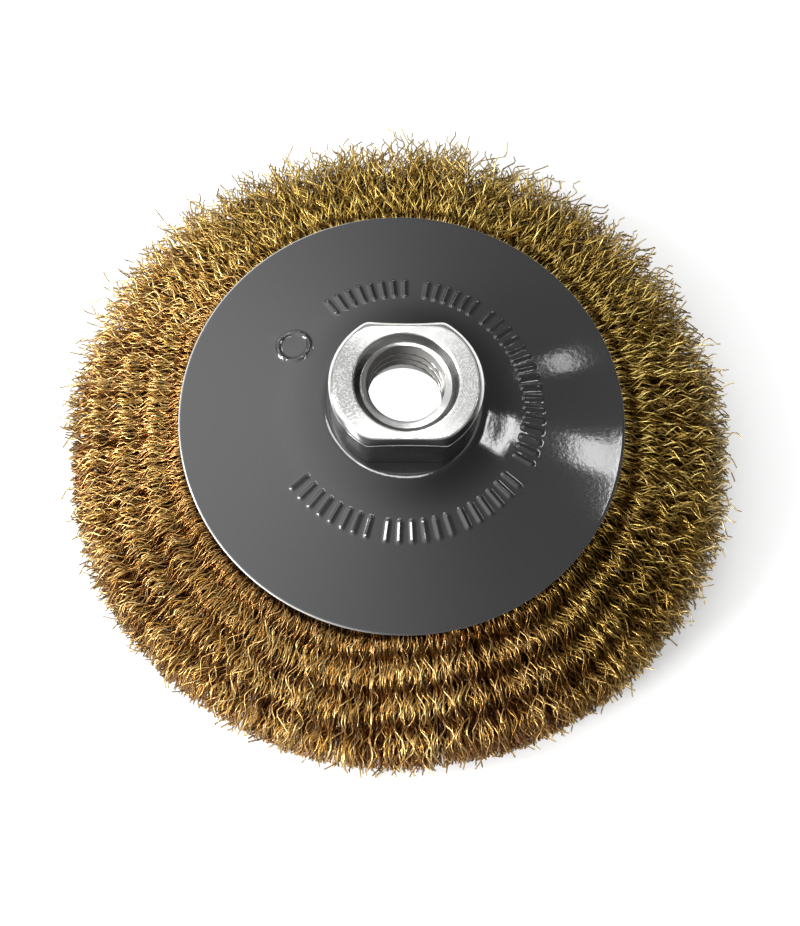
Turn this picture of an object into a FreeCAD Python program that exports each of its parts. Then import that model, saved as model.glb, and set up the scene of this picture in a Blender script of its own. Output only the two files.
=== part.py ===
"""Bevel wire brush for an angle grinder: crimped wire clamped between two pressed plates on a threaded nut.

Lengths are in mm. The spindle axis is Z, the wire tips rest on Z = 0 and the nut faces up.
"""
import FreeCAD, Part
import math
import os
from FreeCAD import Vector

# Whole brush.
brush_diameter = 115.0
overall_height = 33.5
trim_height = 11.5

# Nut with two spanner flats, threaded M14 x 2 and modelled at the thread's minor diameter.
nut_diameter = 24.4
nut_across_flats = 21.0
nut_height = 8.1
nut_edge_bevel = 0.8
thread_minor_diameter = 11.84
mouth_diameter = 16.5
mouth_floor_diameter = 14.4
mouth_depth = 1.6
lead_in_diameter = 12.9
lead_in_depth = 0.9

# Hollow rivet under the nut, spread over the inner plate.
rivet_diameter = 16.8
rivet_wall = 1.2
lip_width = 1.6
lip_height = 1.3
rivet_clearance = 0.05

# Outer plate, pressed from painted sheet.
sheet_thickness = 1.2
outer_plate_diameter = 74.2
boss_diameter = 26.2
bend_width = 1.5
bend_drop = 0.55
shoulder_width = 4.4
shoulder_drop = 1.26
plate_fall = 3.69

# Inner plate, a dish that holds the folded wire against the outer plate.
inner_plate_diameter = 60.0
dish_diameter = 25.4
dish_bend = 1.4

# Flat-sided ring that the wires are folded over, round the dish.
ring_bar = 3.0
fold_thickness = 2.3
fold_clearance = 0.15
fold_corner = 1.8

# Crimped wire, laid in hanks that spread into tufts.
hank_count = 30
tufts_per_hank = 3
hank_clearance = 0.1
tuft_gap = 0.35
tuft_overlap = 1.0
crimp_bends = 8
crimp_height = 0.8
crimp_sway = 0.6
ragged_length = 1.3
ragged_height = 0.7

# Levels and radii that follow from the sizes above.
brush_radius = brush_diameter / 2
boss_z = overall_height - nut_height
stack_z = boss_z - sheet_thickness
rivet_z = stack_z - sheet_thickness
boss_radius = boss_diameter / 2
bend_radius = boss_radius + bend_width
bend_z = boss_z - bend_drop
shoulder_radius = bend_radius + shoulder_width
shoulder_z = bend_z - shoulder_drop
outer_rim_radius = outer_plate_diameter / 2
outer_rim_z = shoulder_z - plate_fall
plate_slope = plate_fall / (outer_rim_radius - shoulder_radius)
slant_thickness = sheet_thickness * math.hypot(1, plate_slope)
inner_rim_radius = inner_plate_diameter / 2
ring_radius = dish_diameter / 2 + fold_clearance + fold_thickness + ring_bar / 2
grip_height = ring_bar + 2 * fold_thickness
hank_angle = 360 / hank_count
tuft_angle = hank_angle / tufts_per_hank
hank_spread = math.tan(math.radians(hank_angle / 2))
tuft_spread = math.tan(math.radians(tuft_angle / 2))


def roof_z(radius):
    """Height of the outer plate's underside above a radius on its cone."""
    return shoulder_z - (radius - shoulder_radius) * plate_slope - slant_thickness


def floor_z(radius):
    """Height of the inner plate's flange, which runs parallel to the outer plate."""
    return roof_z(radius) - grip_height


def outline(points):
    """Flat face in the XZ plane through (radius, height) corners."""
    corners = [Vector(x, 0, z) for x, z in points]
    return Part.Face(Part.makePolygon(corners + corners[:1]))


def turned(face):
    """Solid swept by a face turning about the spindle axis."""
    return face.revolve(Vector(0, 0, 0), Vector(0, 0, 1), 360)


def pressed_sheet(points):
    """Turned sheet whose outer surface follows the (radius, height) points."""
    line = Part.makePolygon([Vector(x, 0, z) for x, z in points])
    return turned(line.makeOffset2D(-sheet_thickness, 2, True, True))


def nut_collar():
    """Round collar with two flats across Y and one bevel round its whole top edge."""
    radius = nut_diameter / 2
    blank = Part.makeCylinder(radius, nut_height, Vector(0, 0, boss_z))
    corner = Vector(-radius, -nut_across_flats / 2, boss_z)
    flats = Part.makeBox(nut_diameter, nut_across_flats, nut_height, corner)
    collar = blank.common(flats)
    top = max(collar.Faces, key=lambda face: face.CenterOfMass.z)
    return collar.makeChamfer(nut_edge_bevel, top.Edges)


def nut_rivet():
    """Tube through both plates, spread into a lip on the far side."""
    tube_radius = rivet_diameter / 2
    lip_radius = tube_radius + lip_width
    foot_z = rivet_z - lip_height
    points = [(0, boss_z), (tube_radius, boss_z), (tube_radius, rivet_z), (lip_radius, rivet_z)]
    points += [(lip_radius - lip_height, foot_z), (0, foot_z)]
    return turned(outline(points))


def nut_bore():
    """Space inside the nut: a two-step mouth, the thread's minor bore and the rivet's own bore."""
    floor = overall_height - mouth_depth
    lead_in = floor - lead_in_depth
    rivet_bore = rivet_diameter / 2 - rivet_wall
    foot_z = rivet_z - lip_height
    points = [(0, overall_height), (mouth_diameter / 2, overall_height)]
    points += [(mouth_floor_diameter / 2, floor), (lead_in_diameter / 2, lead_in)]
    points += [(thread_minor_diameter / 2, lead_in), (thread_minor_diameter / 2, boss_z)]
    points += [(rivet_bore, boss_z), (rivet_bore, foot_z), (0, foot_z)]
    return turned(outline(points))


def spindle_nut():
    return nut_collar().fuse(nut_rivet()).removeSplitter().cut(nut_bore())


def outer_plate():
    hole = rivet_diameter / 2 + rivet_clearance
    points = [(hole, boss_z), (boss_radius, boss_z), (bend_radius, bend_z)]
    points += [(shoulder_radius, shoulder_z), (outer_rim_radius, outer_rim_z)]
    return pressed_sheet(points)


def inner_plate():
    hole = rivet_diameter / 2 + rivet_clearance
    wall = dish_diameter / 2
    foot = wall + dish_bend
    points = [(hole, stack_z), (wall, stack_z), (wall, floor_z(foot) + dish_bend), (foot, floor_z(foot))]
    points += [(inner_rim_radius, floor_z(inner_rim_radius))]
    return pressed_sheet(points)


def ring_z():
    """Height of the ring's middle, with a fold of wire above and below it."""
    return roof_z(ring_radius) - fold_thickness - ring_bar / 2


def retaining_ring():
    inner = ring_radius - ring_bar / 2
    outer = ring_radius + ring_bar / 2
    low = ring_z() - ring_bar / 2
    high = ring_z() + ring_bar / 2
    return turned(outline([(inner, low), (outer, low), (outer, high), (inner, high)]))


def carried_across(side, above):
    """Solid with the outline of one face from the side and of the other from above, both along X."""
    reach = above.BoundBox.YMax - above.BoundBox.YMin
    from_side = side.copy()
    from_side.translate(Vector(0, -reach, 0))
    from_side = from_side.extrude(Vector(0, 2 * reach, 0))
    return from_side.common(above.extrude(Vector(0, 0, overall_height)))


def under_roof(x):
    """Height that clears the outer plate across the whole width of a hank, at a distance along X."""
    return roof_z(x * math.hypot(1, hank_spread)) - fold_clearance


def over_floor(x):
    return floor_z(x) + fold_clearance


def folded_root():
    """Part of a hank between the plates, folded round the ring."""
    inner = ring_radius - ring_bar / 2 - fold_thickness
    near = inner + fold_corner
    outer = inner_rim_radius
    points = [(inner, ring_z() + fold_corner), (near, under_roof(near)), (outer, under_roof(outer))]
    points += [(outer, over_floor(outer)), (near, over_floor(near)), (inner, ring_z() - fold_corner)]

    half_height = ring_bar / 2 + fold_clearance
    ring_inside = (ring_radius - ring_bar / 2 - fold_clearance) / math.hypot(1, hank_spread)
    ring_outside = ring_radius + ring_bar / 2 + fold_clearance
    channel = [(ring_inside, ring_z() - half_height), (ring_outside, ring_z() - half_height)]
    channel += [(ring_outside, ring_z() + half_height), (ring_inside, ring_z() + half_height)]

    near_half = inner * hank_spread - hank_clearance / 2
    far_half = outer * hank_spread - hank_clearance / 2
    plan = [Vector(inner, near_half, 0), Vector(outer, far_half, 0)]
    plan += [Vector(outer, -far_half, 0), Vector(inner, -near_half, 0)]
    above = Part.Face(Part.makePolygon(plan + plan[:1]))
    return carried_across(outline(points).cut(outline(channel)), above)


def zigzag(radius):
    """Crimp of the free wire, from +1 at the plate's rim through -1 and back, with a bend at each turn."""
    bends = (radius - outer_rim_radius) * crimp_bends / (brush_radius - outer_rim_radius)
    return 1 - 2 * abs((bends + 1) % 2 - 1)


def tuft(tip_radius, tip_z):
    """Crimped fan of wire along X, from inside the folded root to the tips that stand on Z = 0."""
    root = inner_rim_radius - tuft_overlap
    pitch = (brush_radius - outer_rim_radius) / crimp_bends
    bends = [outer_rim_radius + pitch * k for k in range(crimp_bends)]
    free = [radius for radius in bends if radius < tip_radius] + [tip_radius]
    fall = (under_roof(outer_rim_radius) - crimp_height - tip_z) / (tip_radius - outer_rim_radius)

    top = [(root, under_roof(root))]
    left = []
    right = []
    for radius in free:
        middle = tip_z + (tip_radius - radius) * fall
        top.append((radius, middle + crimp_height * zigzag(radius)))
    for radius in [root, inner_rim_radius] + free:
        half_width = radius * tuft_spread - tuft_gap / 2
        sway = crimp_sway * zigzag(radius) if radius in free else 0
        left.append(Vector(radius, sway + half_width, 0))
        right.append(Vector(radius, sway - half_width, 0))
    low = [(tip_radius, 0), (inner_rim_radius, over_floor(inner_rim_radius)), (root, over_floor(root))]
    above = Part.Face(Part.makePolygon(left + right[::-1] + left[:1]))
    return carried_across(outline(top + low), above)


def hank(index):
    """Folded root with its tufts, whose tips end unevenly."""
    tufts = []
    for k in range(tufts_per_hank):
        turn = index * tufts_per_hank + k
        short = ragged_length * (0.5 - 0.5 * math.cos(turn * 2.4))
        low = ragged_height * math.sin(turn * 1.7)
        one = tuft(brush_radius - short, trim_height + low)
        one.rotate(Vector(0, 0, 0), Vector(0, 0, 1), (k - (tufts_per_hank - 1) / 2) * tuft_angle)
        tufts.append(one)
    whole = folded_root().fuse(tufts)
    whole.rotate(Vector(0, 0, 0), Vector(0, 0, 1), index * hank_angle)
    return whole


def save(name, shape):
    shape.exportStep(os.path.join("parts", name + ".step"))
    print(name, "solids", len(shape.Solids), "valid", shape.isValid(), "volume", round(shape.Volume, 1))


os.makedirs("parts", exist_ok=True)
save("spindle_nut", spindle_nut())
save("outer_plate", outer_plate())
save("inner_plate", inner_plate())
save("retaining_ring", retaining_ring())
for number in range(hank_count):
    save("wire_hank_%02d" % (number + 1), hank(number))
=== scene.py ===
# %% [markdown]
# # Bevel wire brush
# The brush is one rigid thing: a threaded nut, a painted plate pressed from sheet, and some thousands of crimped
# wires held between that plate and a smaller one below. The frame from the CAD model comes first, because every
# piece is placed by its numbers.

# %% Load the frame
import bpy
import bmesh
import math
import numpy as np
from mathutils import Matrix, Vector


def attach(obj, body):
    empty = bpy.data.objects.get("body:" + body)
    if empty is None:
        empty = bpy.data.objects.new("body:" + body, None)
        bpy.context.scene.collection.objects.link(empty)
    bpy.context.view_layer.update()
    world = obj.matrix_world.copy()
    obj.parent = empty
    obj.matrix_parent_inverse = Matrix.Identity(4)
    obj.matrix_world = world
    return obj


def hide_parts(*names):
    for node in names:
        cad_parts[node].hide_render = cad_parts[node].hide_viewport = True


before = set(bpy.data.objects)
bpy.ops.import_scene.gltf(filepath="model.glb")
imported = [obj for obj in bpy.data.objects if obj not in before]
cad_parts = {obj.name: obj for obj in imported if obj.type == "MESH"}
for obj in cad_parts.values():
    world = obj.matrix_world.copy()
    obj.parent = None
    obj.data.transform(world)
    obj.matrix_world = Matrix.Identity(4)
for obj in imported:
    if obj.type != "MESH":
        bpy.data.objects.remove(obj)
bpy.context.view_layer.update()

from types import SimpleNamespace

# %% [markdown]
# ## Sizes
# The same sizes as in the CAD model, in metres. A plate or a nut that replaces a CAD node has to keep its form, so
# its numbers are written here once and each piece below uses them.

# %% Sizes of the brush
mm = 0.001
top_z = 33.5 * mm             # face of the nut
boss_z = 25.4 * mm            # flat boss of the plate, which carries the nut
sheet = 1.2 * mm
hole_radius = 8.45 * mm
boss_radius = 13.1 * mm
shoulder_radius = 19.0 * mm   # where the rounded shoulder runs out into the cone
shoulder_z = 23.59 * mm
rim_radius = 37.1 * mm
rim_z = 19.9 * mm
brush_radius = 57.5 * mm
trim_height = 11.5 * mm       # height of the standing tips at the trimmed edge
plate_fall = (shoulder_z - rim_z) / (rim_radius - shoulder_radius)
print("plate slope:", round(plate_fall, 4))

# %% [markdown]
# ## Camera
# The photo looks down at about 71 degrees from close by, so the far wires look smaller than the near ones. The
# camera is set by three directions: right, up and back. A small roll about the line of sight gives the tilt of
# the plate's outline. The lens follows from the focal length in pixels, which the perspective of the photo gives.

# %% Camera
right = Vector((0.9931, -0.1175, 0.0))
up = Vector((0.1113, 0.9407, 0.3206))
back = Vector((-0.0377, -0.3184, 0.9472))
roll = math.radians(-6.4)
eye = Vector((0, 0, top_z)) + right * (0.4 * mm) - up * (12.7 * mm) + back * (170 * mm)
sensor_size = 36
photo_height = 926
focal_pixels = 1100

view_right = right * math.cos(roll) - up * math.sin(roll)
view_up = right * math.sin(roll) + up * math.cos(roll)
camera = bpy.data.objects.new("camera", bpy.data.cameras.new("camera"))
bpy.context.collection.objects.link(camera)
turn = Matrix((view_right, view_up, back)).transposed().to_4x4()
camera.matrix_world = Matrix.Translation(eye) @ turn
camera.data.sensor_width = sensor_size
camera.data.lens = sensor_size * focal_pixels / photo_height
camera.data.clip_start = 0.01
camera.data.clip_end = 20
bpy.context.scene.camera = camera
bpy.context.scene.view_settings.view_transform = "Standard"
print("eye:", [round(v, 4) for v in eye])

# %% [markdown]
# ## Node maths
# Long node trees are hard to read as boxes and links. Here a small class wraps a socket, so that an ordinary
# expression such as `1 - mask * 0.5` adds its Math nodes. It serves the materials and the Geometry Nodes alike.

# %% Node maths
class Value:
    """A socket that can stand in an expression."""

    def __init__(self, graph, socket):
        self.graph = graph
        self.socket = socket

    def math(self, operation, *others):
        return self.graph.node("ShaderNodeMath", {"operation": operation}, dict(enumerate(others)))

    def __add__(self, other):
        return self.math("ADD", self, other)

    def __sub__(self, other):
        return self.math("SUBTRACT", self, other)

    def __rsub__(self, other):
        return self.math("SUBTRACT", other, self)

    def __mul__(self, other):
        return self.math("MULTIPLY", self, other)

    def __truediv__(self, other):
        return self.math("DIVIDE", self, other)

    def __rtruediv__(self, other):
        return self.math("DIVIDE", other, self)

    def __pow__(self, other):
        return self.math("POWER", self, other)

    __radd__ = __add__
    __rmul__ = __mul__

    def sin(self):
        return self.math("SINE", self)

    def cos(self):
        return self.math("COSINE", self)

    def above(self, limit):
        return self.math("GREATER_THAN", self, limit)

    def at_least(self, other):
        return self.math("MAXIMUM", self, other)

    def at_most(self, other):
        return self.math("MINIMUM", self, other)

    def step(self, low, high):
        """0 below low, 1 above high and smooth between them."""
        settings = {"interpolation_type": "SMOOTHSTEP"}
        return self.graph.node("ShaderNodeMapRange", settings, {"Value": self, "From Min": low, "From Max": high})

    def part(self, index):
        """One component of a vector."""
        return self.graph.node("ShaderNodeSeparateXYZ", {}, {0: self}, index)


class Graph:
    """A node tree that is written as expressions."""

    def __init__(self, tree):
        self.tree = tree

    def node(self, kind, settings=None, sockets=None, output=0):
        """New node of a kind: its settings come first, then the numbers or links of its sockets."""
        node = self.tree.nodes.new(kind)
        for name, value in (settings or {}).items():
            setattr(node, name, value)
        for key, value in (sockets or {}).items():
            if isinstance(value, Value):
                self.tree.links.new(value.socket, node.inputs[key])
            else:
                node.inputs[key].default_value = value
        return Value(self, node.outputs[output] if node.outputs else None)

    def vector(self, x, y, z):
        return self.node("ShaderNodeCombineXYZ", {}, {0: x, 1: y, 2: z})

    def mix(self, factor, one, other):
        """Colour between two colours."""
        ends = {0: factor, 6: one, 7: other}
        ends = {key: (*value, 1) if isinstance(value, tuple) else value for key, value in ends.items()}
        return self.node("ShaderNodeMix", {"data_type": "RGBA"}, ends, 2)


print("node maths ready")

# %% [markdown]
# ## Floor and sky
# The photo stands on white with a faint shadow. The floor is a pale sheet whose own colour is lifted to white
# where the camera looks at it, so the shadow stays. The patch under the open bore would be black with shade, and
# in the photo white paper shows there, so it glows too.

# %% Floor
floor = bpy.data.objects.new("floor", bpy.data.meshes.new("floor"))
floor.data.from_pydata([(-3, -3, 0), (3, -3, 0), (3, 3, 0), (-3, 3, 0)], [], [(0, 1, 2, 3)])
bpy.context.collection.objects.link(floor)


def object_place(g):
    """Place on a piece. Every piece sits at the origin, so this is also its place in the CAD frame."""
    return g.node("ShaderNodeTexCoord", {}, {}, "Object")


def from_axis(place):
    """Distance of a place from the spindle axis."""
    flat = place.graph.node("ShaderNodeVectorMath", {"operation": "MULTIPLY"}, {0: place, 1: (1, 1, 0)})
    return place.graph.node("ShaderNodeVectorMath", {"operation": "LENGTH"}, {0: flat}, "Value")


def floor_paper():
    """Matt white paper that shows white to the camera outside the shadow, and below the open bore."""
    paper = bpy.data.materials.new("floor_paper")
    paper.use_nodes = True
    paper.node_tree.nodes.clear()
    g = Graph(paper.node_tree)
    seen = g.node("ShaderNodeLightPath", {}, {}, "Is Camera Ray")
    mirrored = g.node("ShaderNodeLightPath", {}, {}, "Is Glossy Ray")
    under_bore = 1 - from_axis(object_place(g)).step(18 * mm, 20 * mm)
    lift = (seen + mirrored).at_most(1) * 0.24 + seen * under_bore
    matt = g.node("ShaderNodeBsdfDiffuse", {}, {"Color": (0.86, 0.86, 0.86, 1)})
    glow = g.node("ShaderNodeEmission", {}, {"Strength": lift})
    both = g.node("ShaderNodeAddShader", {}, {0: matt, 1: glow})
    g.node("ShaderNodeOutputMaterial", {}, {"Surface": both})
    return paper


floor.data.materials.append(floor_paper())
print("floor finish:", floor.data.materials[0].name)

# %% [markdown]
# The camera sees the sky as plain white. All other rays meet a soft light that falls off from left to right and
# towards the horizon. Mirrored in the gloss paint, it gives the plate its slow change from light to dark grey.

# %% Sky
def paint_sky():
    """World that is white to the camera and a soft light, strongest on the left, to everything else."""
    sky = bpy.data.worlds.new("sky")
    bpy.context.scene.world = sky
    sky.use_nodes = True
    sky.node_tree.nodes.clear()
    g = Graph(sky.node_tree)
    way = g.node("ShaderNodeTexCoord", {}, {}, "Generated")
    seen = g.node("ShaderNodeLightPath", {}, {}, "Is Camera Ray")
    left = (way.part(0) * -1).step(-0.4, 0.75)
    behind = way.part(1).step(0.0, 0.8)
    high = way.part(2).step(0.0, 0.75)
    light = 0.05 + (0.19 + 0.09 * behind + 1.9 * left) * high
    strength = seen + (1 - seen) * light
    glow = g.node("ShaderNodeBackground", {}, {"Strength": strength})
    g.node("ShaderNodeOutputWorld", {}, {"Surface": glow})
    return sky


print("sky:", paint_sky().name)

# %% [markdown]
# ## Lamps
# Gloss paint mirrors lamps as sharp patches. To put a patch where the photo has it, the ray from the eye to that
# place on the plate is mirrored at the plate's surface, and the lamp hangs on that mirrored ray.

# %% Window lamps
plate_tilt = math.atan(plate_fall)


def lamp(name, place, aim, along, size, radiance):
    """Rectangular lamp that faces a point, with its long side along a direction."""
    facing = (Vector(place) - Vector(aim)).normalized()
    across = facing.cross(Vector(along)).normalized()
    light = bpy.data.lights.new(name, "AREA")
    light.shape = "RECTANGLE"
    light.size = size[0]
    light.size_y = size[1]
    light.energy = radiance * math.pi * size[0] * size[1]
    body = bpy.data.objects.new(name, light)
    turn = Matrix((across.cross(facing), across, facing)).transposed().to_4x4()
    body.matrix_world = Matrix.Translation(place) @ turn
    bpy.context.collection.objects.link(body)


def mirror_line(radius, angle, tilt):
    """Point of the plate at a radius and an angle, and the way its mirrored ray goes when it leans out by a tilt."""
    angle = math.radians(angle)
    out = Vector((math.cos(angle), math.sin(angle), 0))
    height = shoulder_z - (radius - shoulder_radius) * math.tan(plate_tilt)
    point = out * radius + Vector((0, 0, height))
    normal = out * math.sin(tilt) + Vector((0, 0, math.cos(tilt)))
    ray = (point - eye).normalized()
    return point, ray - 2 * ray.dot(normal) * normal, out


def mirrored_lamp(name, radius, angle, tilt, size, radiance):
    """Lamp that is mirrored at one place on the plate."""
    point, way, out = mirror_line(radius, angle, tilt)
    lamp(name, point + way, point, (-out.y, out.x, 0), size, radiance)
    print(name, "hangs at", [round(v, 3) for v in point + way])


# Name, distance from the axis, angle in degrees, lean of the plate there, size of the lamp and its radiance.
mirrored_lamp("window_low", 31.8 * mm, -13.8, plate_tilt, (0.095, 0.042), 9)
mirrored_lamp("window_high", 28 * mm, 17.6, plate_tilt, (0.06, 0.024), 6)
mirrored_lamp("window_tall", 17.5 * mm, -19, math.radians(15.8), (0.25, 0.035), 12)

# %% [markdown]
# The thin bright line round the boss is the mirror image of long tubes. The bend there passes through a lean of 8
# degrees, which no other part of the plate has, so tubes on the bend's own mirrored rays show only there.

# %% Tubes
bend_radius = 13.2 * mm
bend_tilt = math.radians(8)
tube_spans = ((-165, -120), (-122, -75), (98, 128))   # degrees round the boss
tube_width = 0.1
middle = Vector((0, 0, 20 * mm))
for number, span in enumerate(tube_spans):
    start, end = [point + way for point, way, out in (mirror_line(bend_radius, a, bend_tilt) for a in span)]
    lamp("tube_%d" % number, (start + end) / 2, middle, end - start, ((end - start).length, tube_width), 9)
print("tubes:", len(tube_spans))

# %% [markdown]
# Three soft lamps do the rest. Two stand on the left and at the near left, where the photo's light comes from, and
# give the wires their bright crests. A weak one overhead is what the flat face of the nut mirrors to the camera.

# %% Soft lamps
upright = (0, 0, 1)
lamp("key", (-1.05, 0.0, 0.5), middle, upright, (0.4, 0.4), 16)
lamp("near_fill", (-0.95, -0.55, 0.45), middle, upright, (0.3, 0.3), 47)
point, way, out = mirror_line(0, 0, 0)
lamp("overhead", Vector((0, 0, top_z)) + way, (0, 0, top_z), (1, 0, 0), (0.36, 0.36), 0.78)

# %% [markdown]
# ## Metal and paint
# Three finishes are needed for the rigid pieces. Each varies a little over the surface, because nothing real is
# one flat colour. One helper builds the shader. What is the same all over goes on the shader's own sockets, and
# the finish's function returns what varies.

# %% Finish helper
def finish(name, build, **constants):
    """Material with one Principled shader: constants go on its own sockets, build() returns what varies."""
    material = bpy.data.materials.new(name)
    material.use_nodes = True
    tree = material.node_tree
    tree.nodes.clear()
    g = Graph(tree)
    sockets = {key.replace("_", " "): value for key, value in constants.items()}
    sockets.update(build(g))
    surface = g.node("ShaderNodeBsdfPrincipled", {}, sockets)
    g.node("ShaderNodeOutputMaterial", {}, {"Surface": surface})
    return material


def mottle(g, place, size, detail=2):
    """Noise with a given size in metres."""
    settings = {"Vector": place, "Scale": 1 / size, "Detail": detail}
    return g.node("ShaderNodeTexNoise", {"noise_dimensions": "3D"}, settings, "Fac")


print("finish helper ready")

# %% [markdown]
# Zinc plate on turned steel: bright, with rings left by the cutting tool on flat faces and in the mouth. The rings
# are a sine of the distance from the axis, bent a little by noise so that they don't look drawn. The other zones
# of the nut are told apart by height and distance, and each gets a grey: painted shade in the bore, the thread
# and on the sides, and a painted glare in the mouth.

# %% Zinc plate
def zinc(g):
    """Bright worn face with lathe rings; painted shade on its left and right, in the bore, the thread and on the
    sides; painted glare in the mouth.
    """
    place = object_place(g)
    away = from_axis(place)
    height = place.part(2)
    cloud = mottle(g, place, 1.6 * mm, 4)
    fine = mottle(g, place, 0.3 * mm)

    # Zones inside: the flat face, all of the bore, the thread in it and the floor of the mouth. The bore and the
    # thread get painted shade, and the right wall of the mouth a painted glare.
    face = height.step(top_z - 0.4 * mm, top_z - 0.1 * mm)
    bore = (1 - away.step(8.1 * mm, 8.4 * mm)) * (1 - face)
    thread = (1 - away.step(7.0 * mm, 7.2 * mm)) * (1 - height.step(31.3 * mm, 31.5 * mm))
    ledge = (1 - height.step(31.95 * mm, 32.2 * mm)) * (1 - thread)
    glare = (place.part(0) / away).step(0.7, 0.95)

    # Zones outside: the bevel and the sides. The sides get painted shade, and on the near side the bevel gets a
    # painted dark band between two bright edge lines.
    near = (place.part(1) * -1).step(3 * mm, 8 * mm)
    bevel = height.step(top_z - 0.9 * mm + near * (0.72 * mm), top_z - 0.5 * mm + near * (0.48 * mm))
    line_top = height.step(top_z - 0.86 * mm, top_z - 0.76 * mm)
    edge = height.step(top_z - 0.98 * mm, top_z - 0.9 * mm) * (1 - line_top)
    wall = away.step(8.2 * mm, 8.4 * mm) * (1 - bevel) * (1 - edge * near)

    # Painted shade on the left and the right of the face, standing in for the dark sectors of the turned face's sheen.
    beside = (place.part(0) * place.part(0) / (away * away)).step(0.2, 0.9) * face
    beside = beside * (1.15 - 0.45 * place.part(0).above(0))

    colour = g.mix(cloud.step(0.4, 0.62), (0.78, 0.775, 0.76), (0.86, 0.86, 0.85))
    colour = g.mix(beside * (0.5 + 0.5 * fine.step(0.35, 0.6)), colour, (0.36, 0.36, 0.35))
    # Painted shade in the bore and the thread, lighter where the painted glare falls on the right of the mouth.
    colour = g.mix(bore * (1 - ledge) * (1 - glare), colour, (0.26, 0.26, 0.255))
    colour = g.mix(bore * ledge * glare, colour, (0.45, 0.45, 0.44))
    colour = g.mix(thread, colour, (0.24, 0.235, 0.225))
    # Painted shade: the sides darker grey, and a near black band on the near bevel between bright edge lines.
    colour = g.mix(wall, colour, (0.38, 0.38, 0.375))
    colour = g.mix(wall * near * line_top, colour, (0.09, 0.09, 0.09))
    rings = ((away + cloud * (0.1 * mm)) * (2 * math.pi / (0.23 * mm))).sin() * face
    relief = rings * 0.3 + (fine * 0.4 + cloud * 0.15) * (0.1 + 0.9 * face)
    bump = g.node("ShaderNodeBump", {}, {"Strength": 0.35, "Distance": 0.03 * mm, "Height": relief})
    return {"Base Color": colour, "Roughness": 0.16 + 0.14 * cloud, "Normal": bump}


nut_finish = finish("zinc_plate", zinc, Metallic=1.0)
print("finish:", nut_finish.name)

# %% [markdown]
# The plate's gloss paint is nearly black, so what shows is mirrored light. Noise about a millimetre wide bends the
# mirror images a little, which is the ripple called orange peel. A high index of refraction makes the mirror
# strong. A painted highlight runs along the rim, most of all on the left, and painted shade darkens the paint
# round the nut.

# %% Gloss paint
def gloss_paint(g):
    """Dark grey gloss with orange peel, painted shade round the nut and a painted highlight at the rim."""
    place = object_place(g)
    away = from_axis(place)
    peel = mottle(g, place, 0.9 * mm, 2)
    speck = mottle(g, place, 0.3 * mm, 3)
    left = (place.part(0) * -1).step(0, 20 * mm)
    edge = away.step(rim_radius - 0.35 * mm, rim_radius - 0.02 * mm)
    colour = g.mix(speck, (0.026, 0.026, 0.027), (0.036, 0.036, 0.037))
    # Painted shade: the paint turns nearly black round the nut.
    colour = g.mix(away.step(14 * mm, 21 * mm), (0.008, 0.008, 0.009), colour)
    # Painted highlight along the sheared rim, strongest on the left.
    colour = g.mix(edge * (0.04 + 0.86 * left), colour, (0.55, 0.55, 0.54))
    rough = 0.05 + 0.05 * speck + 0.2 * edge
    bump = g.node("ShaderNodeBump", {}, {"Strength": 1.0, "Distance": 0.007 * mm, "Height": peel + speck * 0.15})
    return {"Base Color": colour, "Roughness": rough, "Normal": bump}


paint_finish = finish("gloss_grey_paint", gloss_paint, IOR=1.72)
print("finish:", paint_finish.name)

# %% [markdown]
# The ring inside the folded wire is plain drawn steel. The wire hides it from every side, so a mottle of two greys
# is enough.

# %% Drawn steel
def drawn_steel(g):
    """Dull steel in two greys."""
    cloud = mottle(g, object_place(g), 0.8 * mm, 3)
    colour = g.mix(cloud, (0.36, 0.35, 0.33), (0.56, 0.55, 0.53))
    return {"Base Color": colour, "Roughness": 0.3 + 0.25 * cloud}


ring_finish = finish("drawn_steel", drawn_steel, Metallic=1.0)
print("finish:", ring_finish.name)

# %% [markdown]
# ## Rings of points
# The plate and the nut are both closed skins wound round the spindle. Each can be written as a list of rings with
# the same number of points, joined ring to ring and the last to the first. One helper makes such a skin from an
# array of points.

# %% Skin from rings
def skin(name, rings, material, nodes, sharp=35):
    """Closed skin through rings of points: an array of rings by columns by 3."""
    rows, columns = rings.shape[:2]
    here = np.arange(rows * columns).reshape(rows, columns)
    beside = np.roll(here, -1, axis=1)
    after = np.roll(here, -1, axis=0)
    quads = np.stack([here, beside, np.roll(beside, -1, axis=0), after], axis=-1).reshape(-1, 4)
    mesh = bpy.data.meshes.new(name)
    mesh.from_pydata(rings.reshape(-1, 3).tolist(), [], quads.tolist())
    tidy = bmesh.new()
    tidy.from_mesh(mesh)
    bmesh.ops.recalc_face_normals(tidy, faces=tidy.faces)
    tidy.to_mesh(mesh)
    tidy.free()
    mesh.shade_smooth()
    mesh.set_sharp_from_angle(angle=math.radians(sharp))
    mesh.materials.append(material)
    piece = bpy.data.objects.new(name, mesh)
    bpy.context.collection.objects.link(piece)
    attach(piece, "root")
    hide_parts(*nodes)
    print(name, "triangles:", 2 * len(mesh.polygons))


print("skin helper ready")

# %% [markdown]
# ## Outer plate
# The plate is pressed from 1.2 mm sheet: a flat boss under the nut, a soft shoulder, a low cone and a sheared rim.
# Its ring of marks is raised from the sheet, so each mark is a soft swelling of the same skin and not a block on
# top. The marks here are plain bars in six groups and one plain ring.

# %% Raised marks
bar_groups = ((124, 89, 8), (79, 56, 6), (48, -26, 16), (-37, -64, 6), (-71, -98, 6), (-106, -142, 8))
bar_inner = 19.9 * mm
bar_outer = 22.8 * mm
bar_width = 0.55 * mm
mark_height = 0.36 * mm
ring_mark_away = 21.0 * mm
ring_mark_angle = math.radians(150)
ring_mark_radius = 2.6 * mm


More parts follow.
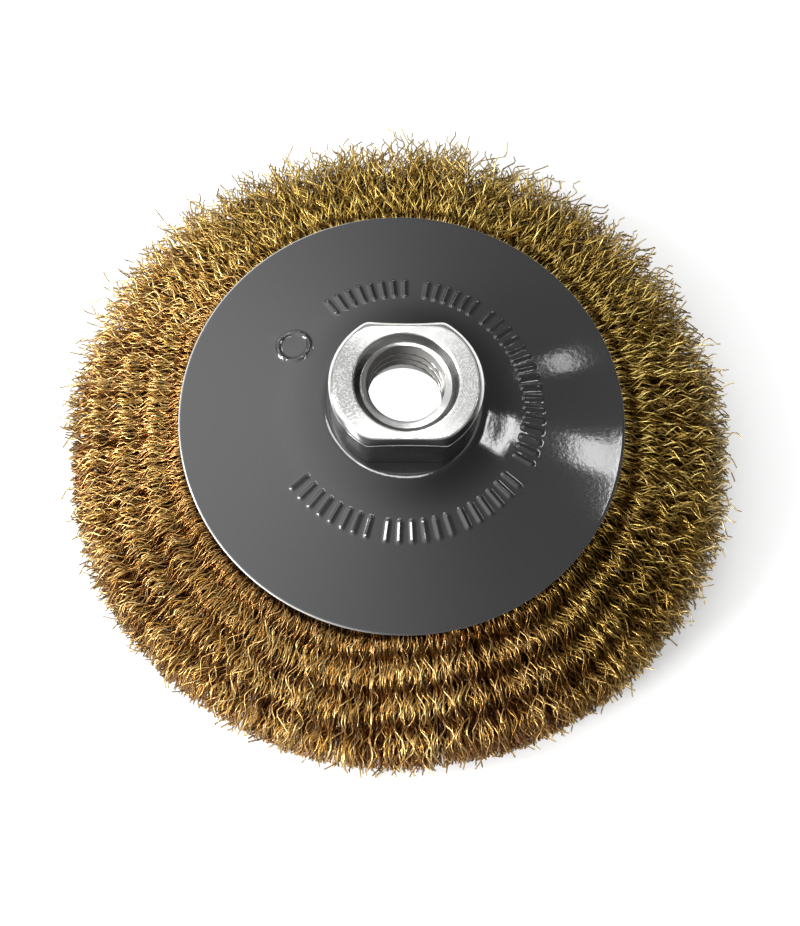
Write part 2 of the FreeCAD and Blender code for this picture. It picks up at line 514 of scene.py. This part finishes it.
def swelling(distance, half_width):
    """Height of a soft ridge, from 1 on its line to 0 at its foot."""
    t = np.clip(1 - np.abs(distance) / half_width, 0, 1)
    return t * t * (3 - 2 * t)


def marks(radius, angle):
    """Height of the raised marks at an array of places on the plate."""
    height = np.zeros_like(radius)
    x = radius * np.cos(angle)
    y = radius * np.sin(angle)
    for first, last, count in bar_groups:
        for at in np.radians(np.linspace(first, last, count)):
            along = np.clip(x * math.cos(at) + y * math.sin(at), bar_inner, bar_outer)
            away = np.hypot(x - along * math.cos(at), y - along * math.sin(at))
            height = np.maximum(height, swelling(away, bar_width))
    middle_x = ring_mark_away * math.cos(ring_mark_angle)
    middle_y = ring_mark_away * math.sin(ring_mark_angle)
    away = np.hypot(x - middle_x, y - middle_y) - ring_mark_radius
    return mark_height * np.maximum(height, swelling(away, bar_width))


print("raised bars:", sum(count for first, last, count in bar_groups))

# %% [markdown]
# The plate's cross-section is a line of rings from the hole over the shoulder to the rim and back underneath. The
# rings lie close together where the surface bends or carries marks, because only there does a gloss surface show
# its facets. The marks then lift the rings of the top face.

# %% Outer plate
plate_columns = 540


def rounded(points, radii, steps=5):
    """Line through corners, each rounded to its own radius."""
    line = []
    for k, (x, z) in enumerate(points):
        corner = Vector((x, z))
        if not radii[k]:
            line.append(corner)
            continue
        one = (Vector(points[k - 1]) - corner)
        other = (Vector(points[(k + 1) % len(points)]) - corner)
        half = one.angle(other) / 2
        reach = min(radii[k] / math.tan(half), one.length / 2, other.length / 2)
        start = corner + one.normalized() * reach
        end = corner + other.normalized() * reach
        for step in range(steps + 1):
            t = step / steps
            line.append(start * (1 - t) ** 2 + corner * (2 * t * (1 - t)) + end * t ** 2)
    return line


def profile(points, radii, stops):
    """Distance from the axis and height of a rounded line, at the given distances."""
    line = rounded(points, radii)
    heights = np.interp(stops, [p.x for p in line], [p.y for p in line])
    return np.stack([stops, heights], axis=-1)


def pressed_plate():
    """Top face with its marks, sheared rim and underside as one skin."""
    top = [(hole_radius, boss_z), (boss_radius, boss_z), (shoulder_radius, shoulder_z), (rim_radius, rim_z)]
    radii = [0, 5 * mm, 60 * mm, 0]
    stops = [np.array([hole_radius, 10.5 * mm, 12.0 * mm]), np.arange(12.2 * mm, 14.1 * mm, 0.15 * mm)]
    stops += [np.arange(14.4 * mm, 18.3 * mm, 0.6 * mm), np.arange(18.4 * mm, 24.0 * mm, 0.2 * mm)]
    stops += [np.linspace(24.2 * mm, rim_radius - 0.6 * mm, 7)]
    stops += [np.array([rim_radius - 0.3 * mm])]
    face = profile(top, radii, np.concatenate(stops))
    under = profile(top, radii, np.linspace(hole_radius, rim_radius - 0.3 * mm, 8)[::-1])
    under[:, 1] -= sheet / math.cos(plate_tilt)

    # The rim is cut square to the sheet, so its lower corner lies further in.
    drop = math.sin(plate_tilt) * sheet
    edge = [(rim_radius - 0.08 * mm, rim_z - 0.02 * mm), (rim_radius, rim_z - 0.12 * mm)]
    edge += [(rim_radius - drop, rim_z - sheet + 0.05 * mm), (rim_radius - drop - 0.1 * mm, rim_z - sheet)]

    line = np.concatenate([face, edge, under])
    angle = np.linspace(0, 2 * math.pi, plate_columns, endpoint=False)
    radius = line[:, :1] + 0 * angle
    height = line[:, 1:] + 0 * angle
    height[:len(face)] += marks(radius[:len(face)], angle + 0 * radius[:len(face)])
    rings = np.stack([radius * np.cos(angle), radius * np.sin(angle), height], axis=-1)
    skin("pressed_outer_plate", rings, paint_finish, ["outer_plate"], sharp=50)


pressed_plate()

# %% [markdown]
# ## Nut
# The nut is a round collar with two spanner flats. Every ring of its skin follows either a circle or that round
# and flat outline, moved inwards. Each ring has the same number of points along every round and every flat part,
# so a circle and an outline join point to point.

# %% Outlines of the nut
nut_radius = 12.2 * mm
half_flats = 10.5 * mm
columns_round = 40
columns_flat = 24
flat_end = 0.59   # half the length of a flat, as a part of its distance from the axis


def corner_angles(inset):
    """Angles of the outline's points: round, flat, round, flat."""
    edge = math.asin((half_flats - inset) / (nut_radius - inset))
    spans = [(-edge, edge, columns_round), (edge, math.pi - edge, columns_flat)]
    spans += [(a + math.pi, b + math.pi, n) for a, b, n in spans]
    return np.concatenate([np.linspace(a, b, n, endpoint=False) for a, b, n in spans])


def ring_points(radius, angle, z):
    """Points at one height, from arrays of distances and angles."""
    return np.stack([radius * np.cos(angle), radius * np.sin(angle), np.full_like(angle, z)], axis=-1)


def collar_ring(inset, z, blend=200, dip=0):
    """Outline moved inwards. A low blend rounds its corners, a dip hollows its flats in the middle."""
    angle = corner_angles(inset)
    across = np.maximum(np.abs(np.sin(angle)), 1e-6)
    middle = np.clip(1 - (np.cos(angle) / across / flat_end) ** 2, 0, 1)
    flat = (half_flats - inset - dip * middle) / across
    whole = nut_radius - inset
    radius = whole * (1 + (whole / flat) ** blend) ** (-1 / blend)
    return ring_points(radius, angle, z)


def circle(radius, z):
    """Round ring on the outline's angles. The radius is one number or one for each point."""
    angle = corner_angles(0)
    return ring_points(np.broadcast_to(radius, angle.shape), angle, z)


print("points in a ring of the nut:", len(corner_angles(0)))

# %% [markdown]
# A screw thread climbs one pitch in a turn. So at any height the profile is the same ring of crest, flank and root,
# turned a little further. Just under the mouth a short cone cuts the first turn away, as the real lead-in does.

# %% Thread
pitch = 2.0 * mm
minor_radius = 5.92 * mm
major_radius = 7.05 * mm
thread_top = 31.9 * mm
thread_rows = 74
root_half = 0.07     # half the width of the thread's root, as a part of the pitch
flank_width = 0.33   # the same for one flank
lead_in_z = 31.62 * mm
lead_in_radius = 6.05 * mm
mouth_floor_radius = 7.2 * mm
mouth_radius = 8.25 * mm


def threaded(z):
    """Ring of the bore at one height: the thread's profile, or the lead-in cone where that is wider."""
    turn = corner_angles(0) / (2 * math.pi)
    place = np.mod(z / pitch - turn, 1)
    flank = np.clip((np.abs(place - 0.5) - root_half) / flank_width, 0, 1)
    radius = minor_radius + (major_radius - minor_radius) * (1 - flank)
    if z >= lead_in_z:
        cone = lead_in_radius + (mouth_floor_radius - lead_in_radius) * (z - lead_in_z) / (thread_top - lead_in_z)
        radius = np.maximum(radius, cone)
    return circle(radius, z)


print("thread depth in mm:", round((major_radius - minor_radius) / mm, 2))

# %% [markdown]
# Now the nut is one list of rings: up the mouth, over the face, down the collar, round the rivet's lip and back up
# the bore through the thread. Rings close to an edge make it soft, so that it catches the light as a thin line.

# %% Nut
bevel = 0.8 * mm
soft = 0.12 * mm
rivet_radius = 8.4 * mm
rivet_bore = 7.2 * mm
lip_radius = 10.0 * mm
lip_z = 23.0 * mm
foot_z = 21.7 * mm


def threaded_nut():
    """Mouth, face, collar, rivet and bore as one skin."""
    rows = [circle(mouth_floor_radius, thread_top - 1e-6), circle(mouth_radius - soft * 2, top_z - soft * 3)]
    rows += [circle(mouth_radius - soft, top_z - soft * 1.5), circle(mouth_radius, top_z - soft * 0.4)]
    rows += [circle(mouth_radius + soft, top_z), circle(mouth_radius + 3 * soft, top_z)]

    # Bevel and sides. The flats are 0.2 mm hollow in the middle near the top, so their upper edges bow a little.
    rows += [collar_ring(bevel + 3 * soft, top_z, 14, 0.2 * mm), collar_ring(bevel + soft, top_z, 14, 0.2 * mm)]
    rows += [collar_ring(bevel, top_z - soft * 0.3, 14, 0.2 * mm)]
    rows += [collar_ring(bevel - soft, top_z - soft, 20, 0.2 * mm)]
    rows += [collar_ring(soft * 1.2, top_z - bevel + soft * 1.2, 90, 0.2 * mm)]
    rows += [collar_ring(soft * 0.4, top_z - bevel + soft * 0.2, 120, 0.2 * mm)]
    rows += [collar_ring(0, top_z - bevel - soft, 200, 0.2 * mm)]
    rows += [collar_ring(0, top_z - bevel - 3 * soft, 200, 0.15 * mm)]
    rows += [collar_ring(0, boss_z + 3 * soft), collar_ring(0, boss_z + soft), collar_ring(soft, boss_z)]

    # Rivet, its spread lip and its own bore.
    rows += [circle(rivet_radius, boss_z), circle(rivet_radius, lip_z)]
    rows += [circle(lip_radius - 0.2 * mm, lip_z), circle(lip_radius, lip_z - 0.15 * mm)]
    rows += [circle(lip_radius - 0.6 * mm, foot_z + 0.4 * mm), circle(lip_radius - 1.3 * mm, foot_z)]
    rows += [circle(rivet_bore + 0.2 * mm, foot_z), circle(rivet_bore, foot_z + 0.2 * mm)]
    rows += [circle(rivet_bore, boss_z - 0.05 * mm)]
    rows += [threaded(z) for z in np.linspace(boss_z, thread_top - 1e-5, thread_rows)]
    skin("threaded_nut", np.array(rows), nut_finish, ["spindle_nut"])


threaded_nut()

# %% [markdown]
# ## Crimped wires
# A brush like this holds about seven thousand wire ends. Drawing them one by one is hopeless, but they follow a
# rule: each starts between the plates, runs outwards and down to the trimmed edge, and waves with the crimp. So
# one straight line is repeated by Geometry Nodes, and a formula moves the points of every copy. The colour comes
# first. It reads two numbers that the formula stores on the wires: a tone, and how much painted light a point gets.
# A crest is painted gold as if lit and a trough brown as painted shade, which gives short golden strokes.

# %% Colour of the wire
def brass_coat(g):
    """Brass coating with painted light: gold on lit crests, painted brown shade in the depths, by the plate's rim and
    on the near right; greener on the far right, greyer and barer at the tips.
    """
    place = object_place(g)
    away = from_axis(place)
    tone = g.node("ShaderNodeAttribute", {"attribute_name": "tone"}, {}, "Fac")
    open_air = g.node("ShaderNodeAttribute", {"attribute_name": "open_air"}, {}, "Fac")
    fleck = mottle(g, place, 0.7 * mm, 2)

    # Where round the brush: the far right half, all of the right, and the near right, which gets painted shade.
    side = ((place.part(0) * 0.6 + place.part(1) * 0.8) / away).step(-0.35, 0.6)
    right_side = (place.part(0) / away).step(0.2, 0.85)
    near_right_shade = ((place.part(0) * 0.68 - place.part(1) * 0.73) / away).step(0.75, 0.98)
    olive = side.at_least(right_side)

    gold = g.mix(tone, (0.78, 0.43, 0.10), (1.0, 0.76, 0.32))
    gold = g.mix(olive * 0.7, gold, g.mix(tone, (0.43, 0.30, 0.045), (0.93, 0.72, 0.20)))
    deep = g.mix(tone, (0.09, 0.024, 0.008), (0.36, 0.16, 0.045))
    deep = g.mix(olive * 0.7, deep, g.mix(tone, (0.08, 0.038, 0.008), (0.38, 0.23, 0.04)))
    bare = g.mix(tone, (0.18, 0.12, 0.05), (0.66, 0.50, 0.22))

    # Painted shadow of the plate's rim on the wires just outside it, weaker on the right and far right.
    clear_of_rim_shadow = away.step(36.8 * mm, 40.5 * mm).at_least(0.75 * olive)
    # Painted light and shade: lit crests gold, shaded troughs and inner wires brown.
    colour = g.mix(open_air * (0.2 + 0.8 * clear_of_rim_shadow), deep, gold)
    # Painted shade over the near right.
    colour = g.mix(near_right_shade * 0.6, colour, deep)
    colour = g.mix((away + fleck * (3 * mm) + side * (2.8 * mm)).step(56.5 * mm, 60.5 * mm), colour, bare)
    return {"Base Color": colour, "Roughness": 0.2 + 0.2 * fleck}


wire_finish = finish("brass_coated_wire", brass_coat, Metallic=1.0)
print("finish:", wire_finish.name)

# %% [markdown]
# The rule takes its sizes as named inputs, so that the upper and the lower wires can share it. Random numbers from
# the copy's own number give each wire its place, length and wave. Noise is read at the wire's place, so neighbours
# get nearly the same value and bend together in clumps.

# %% Place and chances of a wire
wire_inputs = (
    ("Wires", "NodeSocketInt"), ("Steps", "NodeSocketInt"), ("Seed", "NodeSocketInt"),
    ("First Angle", "NodeSocketFloat"), ("Sector", "NodeSocketFloat"),
    ("Low Layer", "NodeSocketFloat"), ("High Layer", "NodeSocketFloat"), ("Root", "NodeSocketFloat"),
    ("Wavelength", "NodeSocketFloat"), ("Crimp", "NodeSocketFloat"), ("Thickness", "NodeSocketFloat"),
    ("Finish", "NodeSocketMaterial"),
)
clumps_round = 7.5    # how fast the shared noise changes round the brush
clumps_deep = 1.6     # and from the lower to the upper wires
stray_limit = 0.945   # a wire whose chance is above this sticks out
chance_names = (("place", "layer_chance", "side"), ("lift", "cut", "stray_chance"),
                ("rise", "phase_chance", "roll_chance"), ("tone", "strength", "bend"))


def place_wires(g, size, index):
    """Numbers of each wire: chances from 0 to 1, angle, layer, noise shared with neighbours, part of the brush."""
    wire = SimpleNamespace()
    for salt, names in enumerate(chance_names):
        sockets = {"ID": index, "Seed": size["Seed"] + salt, 0: (0, 0, 0), 1: (1, 1, 1)}
        three = g.node("FunctionNodeRandomValue", {"data_type": "FLOAT_VECTOR"}, sockets)
        for axis, name in enumerate(names):
            setattr(wire, name, three.part(axis))

    wire.angle = size["First Angle"] + size["Sector"] * (index + wire.place) / size["Wires"]
    wire.layer = size["Low Layer"] + (size["High Layer"] - size["Low Layer"]) * wire.layer_chance
    where = g.vector(wire.angle.cos() * clumps_round, wire.angle.sin() * clumps_round, wire.layer * clumps_deep)
    wire.clump = g.node("ShaderNodeTexNoise", {}, {"Vector": where, "Scale": 1.0, "Detail": 1.5}, "Color")
    wire.wide = g.node("ShaderNodeTexNoise", {}, {"Vector": where, "Scale": 0.33, "Detail": 0.0}, "Color")
    wire.tuft = g.node("ShaderNodeTexNoise", {}, {"Vector": where, "Scale": 2.6, "Detail": 0.0}, "Color")

    # The photo's brush is tidy on the near and left side and loose on the far right. A few wires stray anywhere.
    wire.far = wire.angle.sin().step(0.1, 0.95)
    wire.near = (wire.angle.sin() * -1).step(0.3, 0.95)
    wire.loose = (wire.angle.cos() * 0.6 + wire.angle.sin() * 0.8).step(-0.35, 0.5)
    wire.stray = wire.stray_chance.above(stray_limit)
    return wire


print("inputs of the wire rule:", len(wire_inputs), "chances of a wire:", sum(map(len, chance_names)))

# %% [markdown]
# Next comes the mean line of each wire. `along` runs from 0 at the root between the plates to 1 at the tip. The
# layer, 0 for the lowest wires and 1 for the highest, sets how high the line starts and ends. Chance and clumps
# cut some tips short and let others rise, because a real edge is trimmed but never even.

# %% Run of a wire
root_radius = 29.6 * mm
low_root_z = 13.0 * mm
high_root_z = 19.7 * mm
low_tip_z = 0.4 * mm


def run_out(size, wire, t):
    """Gives each wire its points' distances from the axis and their mean heights, from a place t along it."""
    short = wire.cut * wire.cut * (1.6 * mm) + (wire.clump.part(2) - 0.5) * (3.5 * mm) * (1 + wire.far)
    short = short + wire.far * wire.cut * (4 * mm)
    tip = brush_radius + 0.3 * mm + wire.far * (0.8 * mm) - wire.near * (1.2 * mm) - short
    tip = (tip + wire.stray * (1.2 * mm)).at_most(brush_radius + 1.5 * mm)

    # Wires in the upper layers may start further out, because the plate hides their roots.
    first = (size["Root"] - root_radius) / (tip - root_radius)
    wire.along = first + (1 - first) * t ** 0.85
    wire.radius = root_radius + (tip - root_radius) * wire.along
    wire.curl = wire.along * wire.along

    start_z = low_root_z + wire.layer * (high_root_z - low_root_z)
    end_z = low_tip_z + wire.layer * (trim_height - 0.6 * mm)
    bow = wire.along * (1 - wire.along) * wire.layer * (1.2 * mm)
    drift = (wire.clump.part(1) - 0.5) * (5 * mm) * (1 + wire.far) + (wire.lift - 0.5) * (3 * mm)
    drift = drift + wire.far * wire.layer * wire.layer * wire.rise * (3.2 * mm)
    drift = drift + wire.stray * wire.layer * wire.rise * (3 * mm)
    on_top = wire.stray * wire.layer * (0.9 * mm) * wire.radius.step(36.5 * mm, 39 * mm)
    wire.mean_z = start_z + (end_z - start_z) * wire.along + bow + drift * wire.curl + on_top


print("a wire runs from", round(root_radius / mm, 1), "to about", round(brush_radius / mm, 1), "mm from the axis")

# %% [markdown]
# The crimp is a sine wave along the wire. Its plane is rolled by chance, near to upright where the wires lie
# tidily. Where neighbours share their phase, the crests line up in rings round the brush, as they do in the photo.
# Where the wires are loose, phase and roll are left more to chance. A lean then carries the tips sideways.

# %% Crimp and lean
rim_line = 37 * mm   # waves are counted from here, just inside the plate's rim


def crimp(size, wire):
    """Gives each wire its wave: the phase, the roll of its plane and the height at each point."""
    waves = (2 * math.pi) / (size["Wavelength"] * (1 + 0.13 * (wire.side - 0.5)))
    open_loose = wire.loose * wire.radius.step(38.5 * mm, 46 * mm)
    wire.phase = (wire.radius - rim_line) * waves + (wire.wide.part(0) - 0.5) * 4 * (1 - 0.85 * wire.loose)
    wire.phase = wire.phase + (wire.phase_chance - 0.5) * (1.9 + 3.6 * open_loose)
    wire.turn = (wire.roll_chance - 0.5) * (1.9 + 1.4 * open_loose) + (wire.wide.part(1) - 0.5) * 1.6
    wire.turn = wire.turn + (wire.bend - 0.5) * 3 * wire.curl
    height = size["Crimp"] * (0.7 + 0.6 * wire.strength + 0.3 * wire.stray)
    wire.wave = wire.phase.sin() * (height * wire.radius.step(31.5 * mm, 36.5 * mm))


def wire_points(g, size, wire):
    """Place of each point: the mean line moved by the wave and by the lean, and kept above the floor."""
    lean = (wire.clump.part(0) - 0.5) * (9 * mm) * (0.7 + 0.6 * wire.loose) + (wire.side - 0.5) * (8 * mm)
    lean = lean + (wire.bend - 0.5) * (4 * mm) * wire.stray
    lean = lean + (wire.tuft.part(0) - 0.5) * (12 * mm) * wire.far * wire.curl
    way = wire.angle + (wire.turn.sin() * wire.wave + lean * wire.curl) / wire.radius
    wire.z = (wire.mean_z + wire.turn.cos() * wire.wave).at_least(size["Thickness"] * 1.2)
    return g.vector(wire.radius * way.cos(), wire.radius * way.sin(), wire.z)


def painted_light_and_shade(wire):
    """Painted light for the colour: 1 on a crest near the upper or the lower surface of the brush, towards 0 as
    painted shade inside.
    """
    roof = high_root_z + (trim_height - high_root_z) * wire.along
    base = low_root_z - (low_root_z - low_tip_z) * wire.along
    depth = (roof - wire.z).at_most(wire.z - base)
    crest = (wire.phase.sin() * wire.turn.cos()).step(-0.6, 0.65)
    return (1 - depth.step(-0.4 * mm, 2.8 * mm)) * (0.22 + 0.78 * crest)


print("crimp formulas ready")

# %% [markdown]
# The tree puts the steps together. A line with a few points is copied once for each wire, its points are set, and
# a three-sided section is run along it: at this size three sides look round enough. The tree ends in plain mesh,
# because the export drops instances.

# %% Rule of the wires
def wire_rule():
    """Geometry Nodes tree that grows the wires of one sector."""
    tree = bpy.data.node_groups.new("crimped_wires", "GeometryNodeTree")
    for name, kind in wire_inputs:
        tree.interface.new_socket(name=name, in_out="INPUT", socket_type=kind)
    tree.interface.new_socket(name="Geometry", in_out="OUTPUT", socket_type="NodeSocketGeometry")
    g = Graph(tree)
    given = tree.nodes.new("NodeGroupInput")
    size = {name: Value(g, given.outputs[name]) for name, kind in wire_inputs}

    line = g.node("GeometryNodeCurvePrimitiveLine")
    line = g.node("GeometryNodeResampleCurve", {}, {"Curve": line, "Count": size["Steps"]})
    copies = g.node("GeometryNodeDuplicateElements", {"domain": "SPLINE"}, {"Geometry": line, "Amount": size["Wires"]})
    wire = place_wires(g, size, Value(g, copies.socket.node.outputs["Duplicate Index"]))
    run_out(size, wire, g.node("GeometryNodeSplineParameter"))
    crimp(size, wire)
    point = wire_points(g, size, wire)
    wires = g.node("GeometryNodeSetPosition", {}, {"Geometry": copies, "Position": point})

    section = g.node("GeometryNodeCurvePrimitiveCircle", {}, {"Resolution": 3, "Radius": size["Thickness"]})
    wires = g.node("GeometryNodeStoreNamedAttribute", {"domain": "CURVE", "data_type": "FLOAT"},
                   {"Geometry": wires, "Name": "tone", "Value": wire.tone.at_least(wire.stray)})
    wires = g.node("GeometryNodeStoreNamedAttribute", {"domain": "POINT", "data_type": "FLOAT"},
                   {"Geometry": wires, "Name": "open_air", "Value": painted_light_and_shade(wire)})
    wires = g.node("GeometryNodeCurveToMesh", {}, {"Curve": wires, "Profile Curve": section, "Fill Caps": True})
    wires = g.node("GeometryNodeSetShadeSmooth", {}, {"Geometry": wires})
    wires = g.node("GeometryNodeRealizeInstances", {}, {"Geometry": wires})
    wires = g.node("GeometryNodeSetMaterial", {}, {"Geometry": wires, "Material": size["Finish"]})
    g.node("NodeGroupOutput", {}, {"Geometry": wires})
    return tree


wires_tree = wire_rule()
print("nodes in the wire rule:", len(wires_tree.nodes))

# %% [markdown]
# The wires are made in six sectors, each standing for five hanks of the CAD model, because a piece should stay
# under 200,000 triangles. The upper wires are in full view and get more points than the lower ones.

# %% Grow the wires
sectors = 6
hanks_each = 30 // sectors
sector_angle = 2 * math.pi / sectors
first_hank_edge = -math.pi / 30


def grown(**values):
    """Plain mesh that the rule gives for these values."""
    host = bpy.data.objects.new("host", bpy.data.meshes.new("host"))
    bpy.context.collection.objects.link(host)
    modifier = host.modifiers.new("wires", "NODES")
    modifier.node_group = wires_tree
    for item in wires_tree.interface.items_tree:
        if item.in_out == "INPUT":
            modifier[item.identifier] = values[item.name.replace(" ", "_")]
    graph = bpy.context.evaluated_depsgraph_get()
    mesh = bpy.data.meshes.new_from_object(host.evaluated_get(graph), preserve_all_data_layers=True, depsgraph=graph)
    bpy.data.objects.remove(host)
    return mesh


def wire_sector(number):
    """Upper and lower wires of one sector as one piece. Returns its number of triangles."""
    common = dict(First_Angle=first_hank_edge + number * sector_angle, Sector=sector_angle, Finish=wire_finish)
    common.update(Wavelength=5.2 * mm, Crimp=0.85 * mm)
    above = dict(Low_Layer=0.55, High_Layer=1.0, Root=34.5 * mm, Thickness=0.13 * mm)
    below = dict(Low_Layer=0.0, High_Layer=0.6, Root=root_radius, Thickness=0.17 * mm)
    upper = grown(Wires=710, Steps=25, Seed=10 + number * 7, **above, **common)
    lower = grown(Wires=450, Steps=16, Seed=500 + number * 7, **below, **common)
    whole = bmesh.new()
    whole.from_mesh(upper)
    whole.from_mesh(lower)
    mesh = bpy.data.meshes.new("wires")
    whole.to_mesh(mesh)
    whole.free()
    mesh.materials.clear()
    mesh.materials.append(wire_finish)
    piece = bpy.data.objects.new("crimped_wires_%d" % (number + 1), mesh)
    bpy.context.collection.objects.link(piece)
    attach(piece, "root")
    hanks = ["wire_hank_%02d" % (number * hanks_each + k + 1) for k in range(hanks_each)]
    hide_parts(*hanks)
    triangles = sum(len(face.vertices) - 2 for face in mesh.polygons)
    print(piece.name, "triangles:", triangles)
    return triangles


total = sum(wire_sector(number) for number in range(sectors))
print("triangles in all wires:", total)

# %% [markdown]
# ## Pieces kept from the CAD model
# The inner plate and the ring inside the fold have the right shape already, so they only get their finish.

# %% Finishes of the CAD nodes
for name, material in (("inner_plate", paint_finish), ("retaining_ring", ring_finish)):
    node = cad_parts[name]
    for place in node.material_slots:
        place.material = material
    print(name, "slots:", len(node.material_slots))
